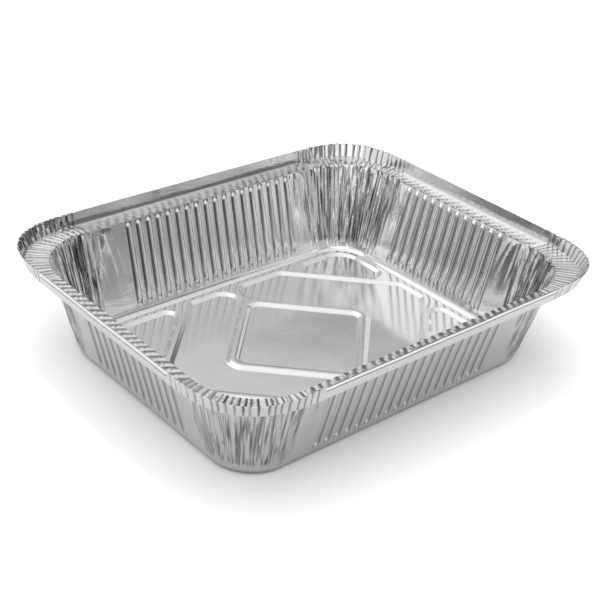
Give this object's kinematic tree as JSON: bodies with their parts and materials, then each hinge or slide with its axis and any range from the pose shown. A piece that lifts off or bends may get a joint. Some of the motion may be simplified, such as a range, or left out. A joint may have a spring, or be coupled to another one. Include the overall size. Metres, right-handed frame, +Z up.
{
  "type": "foil tray",
  "caption": "Deep rectangular aluminium foil tray with ribbed sloping walls, a lid ledge, a standing flange and an embossed floor, for baking and carrying food.",
  "frame": {"origin": "middle of the underside, on the surface the tray stands on", "axes": "+Z up out of the open top, X along the long sides, Y along the short sides"},
  "size_m": [0.324, 0.2646, 0.0764],
  "materials": {
    "foil": "bright rolled foil"
  },
  "bodies": {
    "root": {"tray": "foil"}
  },
  "joints": []
}
